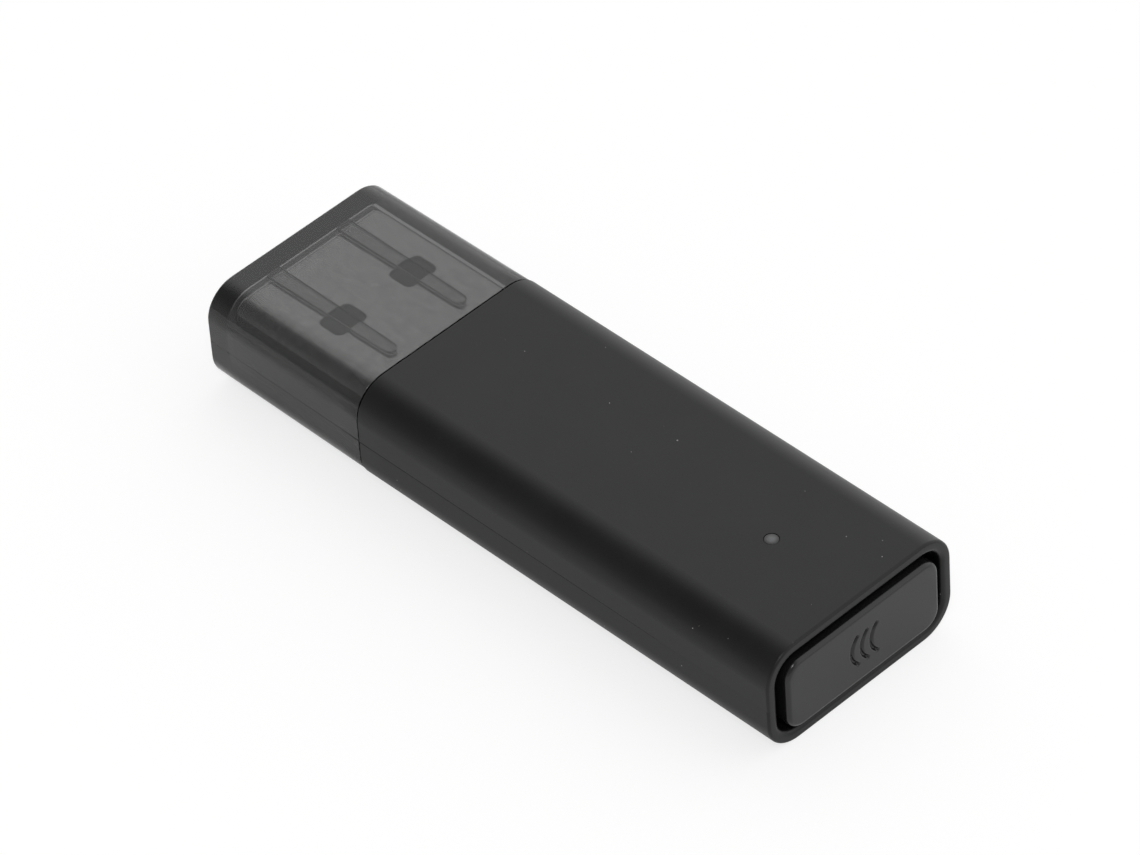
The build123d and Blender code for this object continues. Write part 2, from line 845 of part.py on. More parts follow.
def two_ended(x, y, length, width, height, turned=False):
    """Body and pair of end terminals of a small part that lies along X, or along Y if turned."""
    end = length * terminal_share
    z_start = board_top_z
    z_end = board_top_z + height
    middle = centred_block(x, y, length - 2 * end, width, z_start, z_end)
    ends = [
        centred_block(x + side * (length - end) / 2, y, end, width, z_start, z_end) for side in (-1, 1)
    ]
    if turned:
        turn = Pos(x, y) * Rot(0, 0, 90) * Pos(-x, -y)
        middle = turn * middle
        ends = [turn * piece for piece in ends]
    return middle, ends


def small_parts():
    """Capacitors, resistors, antennas and fuse by name, and the terminals of all."""
    passive = (passive_length, passive_width, passive_height)
    beside_controller = controller_size / 2 + capacitor_from_controller
    capacitor_places = [
        (controller_x - capacitor_spread, beside_controller, False),
        (controller_x + capacitor_spread, beside_controller, False),
        (controller_x - capacitor_spread, -beside_controller, False),
        (controller_x + capacitor_spread, -beside_controller, False),
        (crystal_x - crystal_capacitor_spread, -side_line_y, True),
        (crystal_x + crystal_capacitor_spread, -side_line_y, True),
    ]
    beside_pipe = pipe_foot_width / 2 + resistor_from_light_pipe
    beside_leads = small_chip_lead_span / 2 + resistor_from_leads
    resistor_places = [
        (light_x, -beside_pipe, True),
        (light_x, beside_pipe, True),
        (front_parts_x, -beside_leads, False),
        (front_parts_x, beside_leads, False),
    ]
    antenna_x = rear_zone_start + antenna_length / 2
    antenna_y = side_line_y - antenna_inset
    groups = {
        "capacitors": [two_ended(x, y, *passive, turned) for x, y, turned in capacitor_places],
        "resistors": [two_ended(x, y, *passive, turned) for x, y, turned in resistor_places],
        "chip_antennas": [
            two_ended(antenna_x, side * antenna_y, antenna_length, antenna_width, antenna_height)
            for side in (-1, 1)
        ],
        "power_fuse": [
            two_ended(front_parts_x, -side_line_y + fuse_width / 2, fuse_length, fuse_width, fuse_height)
        ],
    }
    bodies = {name: Compound(children=[body for body, ends in made]) for name, made in groups.items()}
    ends = [end for made in groups.values() for body, pair in made for end in pair]
    return bodies, Compound(children=ends)


def crystal():
    """Ceramic base and metal lid of the crystal."""
    base_top_z = board_top_z + crystal_base_height
    base = centred_block(crystal_x, side_line_y, crystal_length, crystal_width, board_top_z, base_top_z)
    lid = centred_block(
        crystal_x,
        side_line_y,
        crystal_length - crystal_lid_inset,
        crystal_width - crystal_lid_inset,
        base_top_z,
        base_top_z + crystal_lid_height,
    )
    return base, lid


def status_light():
    """Base and lens of the status light."""
    base_top_z = board_top_z + light_base_height
    base = centred_block(light_x, 0, light_length, light_width, board_top_z, base_top_z)
    lens_top_z = base_top_z + light_lens_height
    lens = centred_block(light_x, 0, light_lens_length, light_lens_width, base_top_z, lens_top_z)
    return base, chamfer(lens.faces().sort_by(Axis.Z)[-1].edges(), light_lens_bevel)


def plug_solder():
    """Solder wedges behind the contact feet and beside the shell's legs."""
    foot_end_x = lead_foot_x + lead_foot
    foot_side = Polyline(
        (foot_end_x, board_top_z),
        (foot_end_x + solder_reach, board_top_z),
        (foot_end_x, board_top_z + solder_height),
        close=True,
    )
    wedge = extrude(Plane.XZ * make_face(foot_side), contact_width / 2, both=True)
    offsets = (-power_contact_offset, -data_contact_offset, data_contact_offset, power_contact_offset)
    wedges = [Pos(0, offset, 0) * wedge for offset in offsets]
    leg_y = plug_inner_width / 2
    leg_side = Polyline(
        (leg_y, board_top_z),
        (leg_y - solder_reach, board_top_z),
        (leg_y, board_top_z + solder_reach),
        close=True,
    )
    start_x = board_front_x + board_corner_radius
    leg_wedge = extrude(across(start_x) * make_face(leg_side), plug_rear_x + leg_length - start_x)
    wedges += [leg_wedge, mirror(leg_wedge, Plane.XZ)]
    return Compound(children=wedges)


def test_pads():
    """Two rows of gold pads under the board for programming and test."""
    pad = Cylinder(test_pad_radius, test_pad_thickness, align=(Align.CENTER, Align.CENTER, Align.MAX))
    pads = [
        Pos(crystal_x + column * test_pad_pitch, row * test_pad_pitch / 2, board_bottom_z) * pad
        for column in (-1, 0, 1)
        for row in (-1, 1)
    ]
    return Compound(children=pads)


# --- All pieces, one file each ------------------------------------------------------------------

def all_pieces():
    """Every piece of the stick by name."""
    chip_bodies, chip_leads = chips()
    part_bodies, part_terminals = small_parts()
    crystal_base, crystal_lid = crystal()
    light_base, light_lens = status_light()
    pieces = {
        "body_sleeve": body_sleeve(),
        "cap": cap(),
        "front_collar": front_collar(),
        "plug_shell": plug_shell(),
        "plug_insulator": plug_insulator(),
        "plug_solder": plug_solder(),
        "main_board": main_board(),
        "board_carrier": board_carrier(),
        "end_button": end_button(),
        "light_pipe": light_pipe(),
        "switch_base": switch_base(),
        "switch_plunger": switch_plunger(),
        "switch_dome": switch_dome(),
        "switch_frame": switch_frame(),
        "switch_terminals": switch_terminals(),
        "chip_leads": chip_leads,
        "part_terminals": part_terminals,
        "crystal_base": crystal_base,
        "crystal_lid": crystal_lid,
        "status_light": light_base,
        "status_light_lens": light_lens,
        "test_pads": test_pads(),
    }
    pieces.update(contacts())
    pieces.update(chip_bodies)
    pieces.update(part_bodies)
    return pieces


os.makedirs("parts", exist_ok=True)
for piece_name, piece in all_pieces().items():
    export_step(piece, f"parts/{piece_name}.step")
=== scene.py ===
import json
import math

import bmesh
import bpy
from mathutils import Matrix, Vector

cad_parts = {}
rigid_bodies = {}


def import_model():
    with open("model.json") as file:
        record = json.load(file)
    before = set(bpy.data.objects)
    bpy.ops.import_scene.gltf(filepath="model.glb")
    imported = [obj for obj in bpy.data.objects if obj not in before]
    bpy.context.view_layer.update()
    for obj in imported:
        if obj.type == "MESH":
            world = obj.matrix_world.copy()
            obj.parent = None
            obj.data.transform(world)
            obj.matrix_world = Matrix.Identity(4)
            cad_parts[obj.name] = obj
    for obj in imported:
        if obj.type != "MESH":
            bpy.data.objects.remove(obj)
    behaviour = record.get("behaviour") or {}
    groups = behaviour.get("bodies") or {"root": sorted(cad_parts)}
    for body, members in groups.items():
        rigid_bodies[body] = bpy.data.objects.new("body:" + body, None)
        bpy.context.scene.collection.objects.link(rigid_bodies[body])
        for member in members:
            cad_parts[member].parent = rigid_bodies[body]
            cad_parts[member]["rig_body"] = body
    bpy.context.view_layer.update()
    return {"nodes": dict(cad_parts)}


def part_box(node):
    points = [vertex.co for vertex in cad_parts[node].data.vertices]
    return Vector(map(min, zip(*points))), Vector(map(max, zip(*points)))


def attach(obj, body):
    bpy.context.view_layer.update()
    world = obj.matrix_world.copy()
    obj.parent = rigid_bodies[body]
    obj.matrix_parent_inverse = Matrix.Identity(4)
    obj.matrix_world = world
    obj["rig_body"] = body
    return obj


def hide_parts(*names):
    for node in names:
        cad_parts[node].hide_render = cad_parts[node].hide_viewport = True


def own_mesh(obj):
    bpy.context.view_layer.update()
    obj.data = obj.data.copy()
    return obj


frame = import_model()


# --- Circuit board -------------------------------------------------------------------------------
# A glass-epoxy board, routed out of a panel so that its edges are bare, with copper tracks under a
# green solder mask. It drops over four stakes on the carrier, whose heads are then melted flat.

mm = 0.001


def box_in_mm(node):
    """Lowest and highest corner of a CAD part in millimetres, which all shapes are worked out in."""
    low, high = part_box(node)
    return low / mm, high / mm


def place(shape, name, material, node, crease=40):
    """Shrink a finished shape to metres and put it in the place of its CAD part, on the same body."""
    bmesh.ops.recalc_face_normals(shape, faces=shape.faces)
    bmesh.ops.scale(shape, vec=(mm, mm, mm), verts=shape.verts)
    mesh = bpy.data.meshes.new(name)
    shape.to_mesh(mesh)
    shape.free()
    mesh.shade_smooth()
    mesh.set_sharp_from_angle(angle=math.radians(crease))
    mesh.materials.append(material)
    piece = bpy.data.objects.new(name, mesh)
    bpy.context.collection.objects.link(piece)
    even = piece.modifiers.new("even_shading", "WEIGHTED_NORMAL")
    even.keep_sharp = True
    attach(piece, frame["nodes"][node]["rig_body"])
    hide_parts(node)
    return piece


def softened(node, material, rounding, steps=2, corner=30):
    """A CAD part whose edges are rounded over, as moulding, stamping and plating leave them."""
    shape = bmesh.new()
    shape.from_mesh(frame["nodes"][node].data)
    bmesh.ops.scale(shape, vec=(1 / mm, 1 / mm, 1 / mm), verts=shape.verts)
    bmesh.ops.remove_doubles(shape, verts=shape.verts, dist=0.001)
    bmesh.ops.dissolve_limit(shape, angle_limit=math.radians(1), verts=shape.verts, edges=shape.edges)
    edges = [edge for edge in shape.edges if edge.calc_face_angle(0) > math.radians(corner)]
    bmesh.ops.bevel(
        shape, geom=edges, offset=rounding, segments=steps, profile=0.5, affect="EDGES", clamp_overlap=True
    )
    return place(shape, f"{node}_finished", material, node)


def put(tree, kind, inputs=None, **settings):
    """Add a shader node. Each input is a value or another node's output."""
    node = tree.nodes.new(kind)
    for setting, value in settings.items():
        setattr(node, setting, value)
    for name, value in (inputs or {}).items():
        if isinstance(value, bpy.types.NodeSocket):
            tree.links.new(value, node.inputs[name])
        else:
            node.inputs[name].default_value = value
    return node


def mixed(tree, share, first, second):
    """A colour between two others."""
    return put(tree, "ShaderNodeMix", {0: share, 6: first, 7: second}, data_type="RGBA").outputs[2]


def sum_of(tree, operation, first, second, third=0.0):
    """The result of one sum on two or three values."""
    return put(tree, "ShaderNodeMath", {0: first, 1: second, 2: third}, operation=operation).outputs[0]


def between(tree, value, low, high):
    """A mask that rises smoothly from 0 at low to 1 at high."""
    inputs = {"Value": value, "From Min": low, "From Max": high}
    return put(tree, "ShaderNodeMapRange", inputs, interpolation_type="SMOOTHSTEP").outputs["Result"]


def new_effect(name, inputs, outputs):
    """An empty node group with named values going in and coming out."""
    tree = bpy.data.node_groups.new(name, "ShaderNodeTree")
    for label, value in inputs.items():
        socket = tree.interface.new_socket(label, in_out="INPUT", socket_type="NodeSocketFloat")
        socket.default_value = value
    for label in outputs:
        tree.interface.new_socket(label, in_out="OUTPUT", socket_type="NodeSocketFloat")
    return tree, tree.nodes.new("NodeGroupInput").outputs, tree.nodes.new("NodeGroupOutput").inputs


def new_grain():
    """Grain of a given size in metres, with roughness and shade that drift over a wider area."""
    inputs = {"Size": 0.1 * mm, "Roughness": 0.4, "Spread": 0.1}
    tree, given, result = new_effect("grain", inputs, ["Height", "Roughness", "Shade"])
    where = put(tree, "ShaderNodeTexCoord").outputs["Object"]
    fine_scale = sum_of(tree, "DIVIDE", 1.0, given["Size"])
    broad_scale = sum_of(tree, "DIVIDE", 0.03, given["Size"])
    fine = put(tree, "ShaderNodeTexNoise", {"Vector": where, "Scale": fine_scale, "Detail": 3.0}).outputs[0]
    broad = put(tree, "ShaderNodeTexNoise", {"Vector": where, "Scale": broad_scale, "Detail": 4.0}).outputs[0]
    both = sum_of(tree, "ADD", fine, broad)
    drift = sum_of(tree, "SUBTRACT", both, 1.0)
    roughness = sum_of(tree, "MULTIPLY_ADD", drift, given["Spread"], given["Roughness"])
    tree.links.new(fine, result["Height"])
    tree.links.new(roughness, result["Roughness"])
    tree.links.new(between(tree, both, 0.7, 1.3), result["Shade"])
    return tree


def new_edge_rub():
    """Where handling polishes the outer edges first."""
    tree, given, result = new_effect("edge_rub", {"Start": 0.52, "End": 0.6}, ["Mask"])
    where = put(tree, "ShaderNodeTexCoord").outputs["Object"]
    point = put(tree, "ShaderNodeNewGeometry").outputs["Pointiness"]
    patchy = put(tree, "ShaderNodeTexNoise", {"Vector": where, "Scale": 900.0, "Detail": 4.0}).outputs[0]
    edge = between(tree, point, given["Start"], given["End"])
    tree.links.new(sum_of(tree, "MULTIPLY", edge, patchy), result["Mask"])
    return tree


grain = new_grain()
edge_rub = new_edge_rub()


def effect(tree, group, **values):
    """One of the shared effects, placed in a material with its own values."""
    node = put(tree, "ShaderNodeGroup", node_tree=group)
    for name, value in values.items():
        node.inputs[name].default_value = value
    return node.outputs


def raised(tree, height, depth, strength=1.0):
    """A normal that follows a height pattern of the given depth in metres."""
    return put(tree, "ShaderNodeBump", {"Height": height, "Distance": depth, "Strength": strength}).outputs[0]


def new_material(name):
    """An empty material, and its tree, ready for a shader."""
    material = bpy.data.materials.new(name)
    material.use_nodes = True
    material.node_tree.nodes.clear()
    return material, material.node_tree


def shade(tree, inputs, volume=None):
    """The material's own shader and output."""
    shader = put(tree, "ShaderNodeBsdfPrincipled", inputs)
    output = put(tree, "ShaderNodeOutputMaterial", {"Surface": shader.outputs[0]})
    if volume:
        tree.links.new(volume, output.inputs["Volume"])
    return shader


def grained(name, dark, light, size, depth, roughness, spread=0.1, rub=0.0, **fixed):
    """A material with two close shades, a grain of its own, and edges polished by use."""
    material, tree = new_material(name)
    texture = effect(tree, grain, Size=size, Roughness=roughness, Spread=spread)
    worn = effect(tree, edge_rub)["Mask"]
    polish = sum_of(tree, "MULTIPLY", worn, rub)
    inputs = {
        "Base Color": mixed(tree, texture["Shade"], dark, light),
        "Roughness": sum_of(tree, "SUBTRACT", texture["Roughness"], polish),
        "Normal": raised(tree, texture["Height"], depth),
    }
    inputs.update({label.replace("_", " "): value for label, value in fixed.items()})
    shade(tree, inputs)
    return material


def board_laminate():
    """Solder mask over tracks, tinned via rings, and bare glass-epoxy on the cut edges."""
    material, tree = new_material("board_laminate")
    where = put(tree, "ShaderNodeTexCoord").outputs["Object"]
    along = put(tree, "ShaderNodeTexWave", {"Vector": where, "Scale": 780.0}, bands_direction="Y")
    over = put(tree, "ShaderNodeTexWave", {"Vector": where, "Scale": 780.0}, bands_direction="X")
    patch = put(tree, "ShaderNodeTexNoise", {"Vector": where, "Scale": 280.0, "Detail": 0.0}).outputs[0]
    lines = mixed(tree, between(tree, patch, 0.49, 0.51), along.outputs["Color"], over.outputs["Color"])
    track = between(tree, lines, 0.62, 0.74)
    cells = put(tree, "ShaderNodeTexVoronoi", {"Vector": where, "Scale": 620.0, "Randomness": 0.7})
    vias = cells.outputs["Distance"]
    ring = sum_of(tree, "MULTIPLY", between(tree, vias, 0.06, 0.08), between(tree, vias, 0.17, 0.15))
    texture = effect(tree, grain, Size=0.05 * mm, Roughness=0.32, Spread=0.12)
    facing = put(tree, "ShaderNodeSeparateXYZ", {0: put(tree, "ShaderNodeNewGeometry").outputs["Normal"]})
    cut_edge = between(tree, sum_of(tree, "ABSOLUTE", facing.outputs["Z"], 0.0), 0.7, 0.5)
    mask = mixed(tree, track, (0.004, 0.045, 0.02, 1), (0.012, 0.12, 0.05, 1))
    tinned = mixed(tree, ring, mask, (0.62, 0.6, 0.55, 1))
    glass_epoxy = mixed(tree, texture["Shade"], (0.30, 0.27, 0.12, 1), (0.42, 0.38, 0.2, 1))
    height = sum_of(tree, "ADD", track, sum_of(tree, "MULTIPLY", texture["Height"], 0.15))
    shade(
        tree,
        {
            "Base Color": mixed(tree, cut_edge, tinned, glass_epoxy),
            "Roughness": texture["Roughness"],
            "Metallic": ring,
            "Normal": raised(tree, height, 0.02 * mm),
        },
    )
    return material


softened("main_board", board_laminate(), 0.04)


# --- Chips ---------------------------------------------------------------------------------------
# A controller, a memory, a regulator and a surge protector, in black moulding compound filled with
# glass dust. Tinned leads are trimmed and bent down after moulding, and reflowed onto the board.

chip_moulding = grained(
    "chip_moulding",
    dark=(0.014, 0.014, 0.015, 1),
    light=(0.034, 0.034, 0.035, 1),
    size=0.03 * mm,
    depth=0.004 * mm,
    roughness=0.55,
    spread=0.2,
)
for chip in ("controller_chip", "memory_chip", "voltage_regulator", "surge_protector"):
    softened(chip, chip_moulding, 0.03)

tinned_lead = grained(
    "tinned_lead",
    dark=(0.50, 0.50, 0.50, 1),
    light=(0.70, 0.70, 0.69, 1),
    size=0.04 * mm,
    depth=0.003 * mm,
    roughness=0.34,
    spread=0.2,
    Metallic=1.0,
)
softened("chip_leads", tinned_lead, 0.03)


# --- Small parts on the board --------------------------------------------------------------------
# Fired ceramic capacitors, resistors and aerials, a coated fuse, and a crystal under a seam-welded
# lid. Each has plated ends or pads, and is soldered where the placing machine set it down.

capacitor_ceramic = grained(
    "capacitor_ceramic",
    dark=(0.24, 0.15, 0.08, 1),
    light=(0.40, 0.27, 0.16, 1),
    size=0.03 * mm,
    depth=0.003 * mm,
    roughness=0.45,
)
resistor_ceramic = grained(
    "resistor_ceramic",
    dark=(0.018, 0.018, 0.022, 1),
    light=(0.04, 0.04, 0.045, 1),
    size=0.05 * mm,
    depth=0.003 * mm,
    roughness=0.28,
)
antenna_ceramic = grained(
    "antenna_ceramic",
    dark=(0.58, 0.60, 0.62, 1),
    light=(0.76, 0.77, 0.78, 1),
    size=0.04 * mm,
    depth=0.003 * mm,
    roughness=0.5,
)
fuse_coating = grained(
    "fuse_coating",
    dark=(0.03, 0.09, 0.04, 1),
    light=(0.09, 0.19, 0.10, 1),
    size=0.06 * mm,
    depth=0.005 * mm,
    roughness=0.4,
)
crystal_ceramic = grained(
    "crystal_ceramic",
    dark=(0.20, 0.16, 0.11, 1),
    light=(0.34, 0.28, 0.20, 1),
    size=0.04 * mm,
    depth=0.003 * mm,
    roughness=0.5,
)
crystal_lid_metal = grained(
    "crystal_lid_metal",
    dark=(0.60, 0.57, 0.50, 1),
    light=(0.74, 0.72, 0.66, 1),
    size=0.08 * mm,
    depth=0.003 * mm,
    roughness=0.28,
    spread=0.16,
    Metallic=1.0,
)
small_part_finishes = {
    "capacitors": capacitor_ceramic,
    "resistors": resistor_ceramic,
    "chip_antennas": antenna_ceramic,
    "power_fuse": fuse_coating,
    "part_terminals": tinned_lead,
    "crystal_base": crystal_ceramic,
    "crystal_lid": crystal_lid_metal,
}
for part, finish in small_part_finishes.items():
    softened(part, finish, 0.04)


# --- Status light and test pads ------------------------------------------------------------------
# A surface-mount light: a white laminate base with a cast resin lens. Under the board, round gold
# pads let the factory program and test it before the sleeve goes on.

light_base = grained(
    "light_base",
    dark=(0.66, 0.66, 0.63, 1),
    light=(0.82, 0.82, 0.80, 1),
    size=0.05 * mm,
    depth=0.003 * mm,
    roughness=0.5,
)
softened("status_light", light_base, 0.03)

light_resin = grained(
    "light_resin",
    dark=(0.78, 0.78, 0.66, 1),
    light=(0.92, 0.92, 0.84, 1),
    size=0.06 * mm,
    depth=0.002 * mm,
    roughness=0.12,
    spread=0.06,
    Transmission_Weight=0.7,
    IOR=1.53,
)
softened("status_light_lens", light_resin, 0.05, steps=3)

pad_gold = grained(
    "pad_gold",
    dark=(0.70, 0.47, 0.17, 1),
    light=(0.88, 0.66, 0.32, 1),
    size=0.05 * mm,
    depth=0.002 * mm,
    roughness=0.3,
    Metallic=1.0,
)
softened("test_pads", pad_gold, 0.015)


# --- Push switch ---------------------------------------------------------------------------------
# A side-push switch soldered at the board's rear edge. A nylon plunger bears on a thin steel snap
# dome, which it presses flat, and a pressed steel cover with two skirts holds both in the base.

switch_plastic = grained(
    "switch_plastic",
    dark=(0.026, 0.026, 0.026, 1),
    light=(0.048, 0.048, 0.048, 1),
    size=0.06 * mm,
    depth=0.004 * mm,
    roughness=0.45,
)
plunger_nylon = grained(
    "plunger_nylon",
    dark=(0.52, 0.47, 0.37, 1),
    light=(0.66, 0.61, 0.51, 1),
    size=0.08 * mm,
    depth=0.004 * mm,
    roughness=0.42,
    Subsurface_Weight=0.15,
    Subsurface_Scale=0.0004,
)


def new_drawn_lines():
    """Fine lines that rolling and drawing leave along a sheet, with roughness and shade to match."""
    inputs = {"Width": 0.03 * mm, "Roughness": 0.25, "Spread": 0.12}
    tree, given, result = new_effect("drawn_lines", inputs, ["Height", "Roughness", "Shade"])
    where = put(tree, "ShaderNodeTexCoord").outputs["Object"]
    drawn_out = put(tree, "ShaderNodeMapping", {"Vector": where, "Scale": (0.025, 1.0, 1.0)}).outputs[0]
    scale = sum_of(tree, "DIVIDE", 1.0, given["Width"])
    wide_scale = sum_of(tree, "DIVIDE", 0.06, given["Width"])
    lines = put(tree, "ShaderNodeTexNoise", {"Vector": drawn_out, "Scale": scale, "Detail": 2.0}).outputs[0]
    stain = put(tree, "ShaderNodeTexNoise", {"Vector": where, "Scale": wide_scale, "Detail": 4.0}).outputs[0]
    both = sum_of(tree, "ADD", lines, stain)
    drift = sum_of(tree, "SUBTRACT", both, 1.0)
    roughness = sum_of(tree, "MULTIPLY_ADD", drift, given["Spread"], given["Roughness"])
    tree.links.new(lines, result["Height"])
    tree.links.new(roughness, result["Roughness"])
    tree.links.new(between(tree, both, 0.7, 1.3), result["Shade"])
    return tree


drawn_lines = new_drawn_lines()


def sheet_metal(name, dark, light, line_width, depth, roughness, spread=0.12):
    """Rolled sheet with its lines along the stick."""
    material, tree = new_material(name)
    texture = effect(tree, drawn_lines, Width=line_width, Roughness=roughness, Spread=spread)
    worn = effect(tree, edge_rub)["Mask"]
    shade(
        tree,
        {
            "Base Color": mixed(tree, texture["Shade"], dark, light),
            "Roughness": sum_of(tree, "SUBTRACT", texture["Roughness"], sum_of(tree, "MULTIPLY", worn, 0.1)),
            "Metallic": 1.0,
            "Normal": raised(tree, texture["Height"], depth),
        },
    )
    return material


switch_steel = sheet_metal(
    "switch_steel", (0.52, 0.52, 0.51, 1), (0.68, 0.68, 0.67, 1), 0.03 * mm, 0.001 * mm, 0.3
)
softened("switch_base", switch_plastic, 0.04)
softened("switch_plunger", plunger_nylon, 0.05)
dome = softened("switch_dome", switch_steel, 0.015)
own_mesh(dome)
softened("switch_frame", switch_steel, 0.025)
softened("switch_terminals", tinned_lead, 0.025)


# --- USB-A plug: contacts, tongue and solder ------------------------------------------------------
# Four gold-plated strip contacts lie in slots under a black glass-filled tongue, the outer pair
# further forward so that power meets first. Their bent feet and the shell's legs are soldered.

contact_gold = sheet_metal(
    "contact_gold", (0.76, 0.52, 0.20, 1), (0.92, 0.70, 0.36, 1), 0.025 * mm, 0.001 * mm, 0.22
)
for line in ("vbus", "data_minus", "data_plus", "ground"):
    softened(f"contact_{line}", contact_gold, 0.04)

insulator_plastic = grained(
    "insulator_plastic",
    dark=(0.016, 0.016, 0.016, 1),
    light=(0.034, 0.034, 0.034, 1),
    size=0.09 * mm,
    depth=0.005 * mm,
    roughness=0.42,
    spread=0.16,
)
softened("plug_insulator", insulator_plastic, 0.05)

solder = grained(
    "solder",
    dark=(0.54, 0.54, 0.55, 1),
    light=(0.74, 0.74, 0.75, 1),
    size=0.14 * mm,
    depth=0.012 * mm,
    roughness=0.2,
    spread=0.2,
    Metallic=1.0,
)
softened("plug_solder", solder, 0.05, steps=3)


# --- USB-A plug: shell ----------------------------------------------------------------------------
# Nickel-plated steel sheet, blanked with four latch windows, folded into a tube and keyed together
# along its underside. The mouth is swaged in a little, and two legs go down through the board.

shell_low, shell_high = box_in_mm("plug_shell")
mid_z = box_in_mm("cap")[0].z / 2 + box_in_mm("cap")[1].z / 2
shell_width = shell_high.y - shell_low.y
shell_height = 4.5
shell_radius = 0.95
sheet = 0.3
swage_depth = 0.16
swage_length = 0.45
shell_edge = 0.05
lip_outside = 0.1
lip_inside = 0.08
leg_length = 1.4
leg_top_rise = 1.25
leg_inset = 0.01
leg_overlap = 0.02
leg_edge = 0.06
shell_tail_x = shell_high.x - leg_length
window_length = 1.95
window_width = 2.44
window_radius = 0.45
window_from_tip = 5.95
window_offset = 2.85
window_edge = 0.06
seam_width = 0.1
seam_depth = 0.1
seam_key = (1.3, 1.6)
corner_steps = 12
parting_z = mid_z - 0.1
parting_half_width = 0.04
tolerance = 0.01


def section(width, height, radius, groove=0.0):
    """Points (y, z) round a rounded rectangle, with three on each side where a mould may part."""
    points = []
    for quarter, (side, level) in enumerate(((1, 1), (-1, 1), (-1, -1), (1, -1))):
        centre_y = side * (width / 2 - radius)
        centre_z = mid_z + level * (height / 2 - radius)
        for step in range(corner_steps + 1):
            angle = math.radians(90 * (quarter + step / corner_steps))
            points.append((centre_y + radius * math.cos(angle), centre_z + radius * math.sin(angle)))
        if side == level:
            continue
        for rise in (-side * parting_half_width, 0.0, side * parting_half_width):
            depth = groove if rise == 0.0 else 0.0
            points.append((side * (width / 2 - depth), parting_z + rise))
    return points


def ring(x, width, height, radius, inset=0.0, groove=0.0):
    """The section above as a ring at x, drawn in by an inset on every side."""
    outline = section(width - 2 * inset, height - 2 * inset, radius - inset, groove)
    return [(x, y, z) for y, z in outline]


def rounding(size, steps=5):
    """Quarter round as pairs: how far back from the end face, and how far in from the side."""
    turns = [math.pi / 2 * step / steps for step in range(steps + 1)]
    return [(size * (1 - math.cos(turn)), size * (1 - math.sin(turn))) for turn in turns]


def skin(rings, joined=False, fill_last=True):
    """A surface through rings of equal count, either joined end to end or filled at its ends."""
    shape = bmesh.new()
    rows = [[shape.verts.new(point) for point in points] for points in rings]
    pairs = list(zip(rows, rows[1:]))
    if joined:
        pairs.append((rows[-1], rows[0]))
    for near, far in pairs:
        for here in range(len(near)):
            after = (here + 1) % len(near)
            shape.faces.new((near[here], near[after], far[after], far[here]))
    if not joined:
        shape.faces.new(rows[0])
    if not joined and fill_last:
        shape.faces.new(rows[-1])
    bmesh.ops.recalc_face_normals(shape, faces=shape.faces)
    return shape


def prism(points, start, end, axis="z"):
    """A closed bar whose outline is drawn across one axis and pulled along it."""
    ends = []
    for level in (start, end):
        if axis == "z":
            ends.append([(a, b, level) for a, b in points])
        else:
            ends.append([(level, a, b) for a, b in points])
    return skin(ends)


def combine(shape, tool, operation="DIFFERENCE"):
    """Cut one closed shape out of another, or join the two under one skin."""
    pair = []
    for part in (shape, tool):
        bmesh.ops.recalc_face_normals(part, faces=part.faces)
        mesh = bpy.data.meshes.new("rough")
        part.to_mesh(mesh)
        part.free()
        rough = bpy.data.objects.new("rough", mesh)
        bpy.context.collection.objects.link(rough)
        pair.append(rough)
    change = pair[0].modifiers.new("change", "BOOLEAN")
    change.object = pair[1]
    change.operation = operation
    change.solver = "EXACT"
    bpy.context.view_layer.update()
    made = bmesh.new()
    made.from_object(pair[0], bpy.context.evaluated_depsgraph_get())
    for rough in pair:
        bpy.data.objects.remove(rough)
    bmesh.ops.remove_doubles(made, verts=made.verts, dist=0.0005)
    return made


def soften_edges(shape, size, wanted, steps=2):
    """Round over the sharp edges whose ends both pass a test."""
    edges = [
        edge
        for edge in shape.edges
        if edge.calc_face_angle(0) > math.radians(45) and all(wanted(vert.co) for vert in edge.verts)
    ]
    bmesh.ops.bevel(shape, geom=edges, offset=size, segments=steps, profile=0.5, affect="EDGES")
    return shape


def rounded_plate(x, y, length, width, radius, steps=6):
    """Plan outline of a rounded rectangle about a middle."""
    points = []
    for quarter, (side_x, side_y) in enumerate(((1, 1), (-1, 1), (-1, -1), (1, -1))):
        for step in range(steps + 1):
            angle = math.radians(90 * (quarter + step / steps))
            points.append(
                (
                    x + side_x * (length / 2 - radius) + radius * math.cos(angle),
                    y + side_y * (width / 2 - radius) + radius * math.sin(angle),
                )
            )
    return points


def folded_shell():
    """The shell's sheet, out along its outside, over the mouth and back along its inside."""
    outside = (shell_width, shell_height, shell_radius)
    inside = (shell_width - 2 * sheet, shell_height - 2 * sheet, shell_radius - sheet)
    tip_x = shell_low.x
    rings = []
    for back, inset in rounding(shell_edge, 3):
        rings.append(ring(shell_tail_x - back, *outside, inset))
    start = shell_tail_x - shell_edge
    for share in (0.5, 1.0):
        rings.append(ring(start + share * (tip_x + swage_length - start), *outside))
    for step in range(1, 5):
        share = step / 5
        rings.append(ring(tip_x + swage_length * (1 - share), *outside, swage_depth * share**2))
    for back, inset in reversed(rounding(lip_outside, 3)):
        rings.append(ring(tip_x + back, *outside, swage_depth + inset))
    for back, inset in rounding(lip_inside, 3):
        rings.append(ring(tip_x + back, *inside, swage_depth - inset))
    for step in range(4, 0, -1):
        share = step / 5
        rings.append(ring(tip_x + swage_length * (1 - share), *inside, swage_depth * share**2))
    rings.append(ring(tip_x + swage_length, *inside))
    rings.append(ring(shell_tail_x, *inside))
    return skin(rings, joined=True)


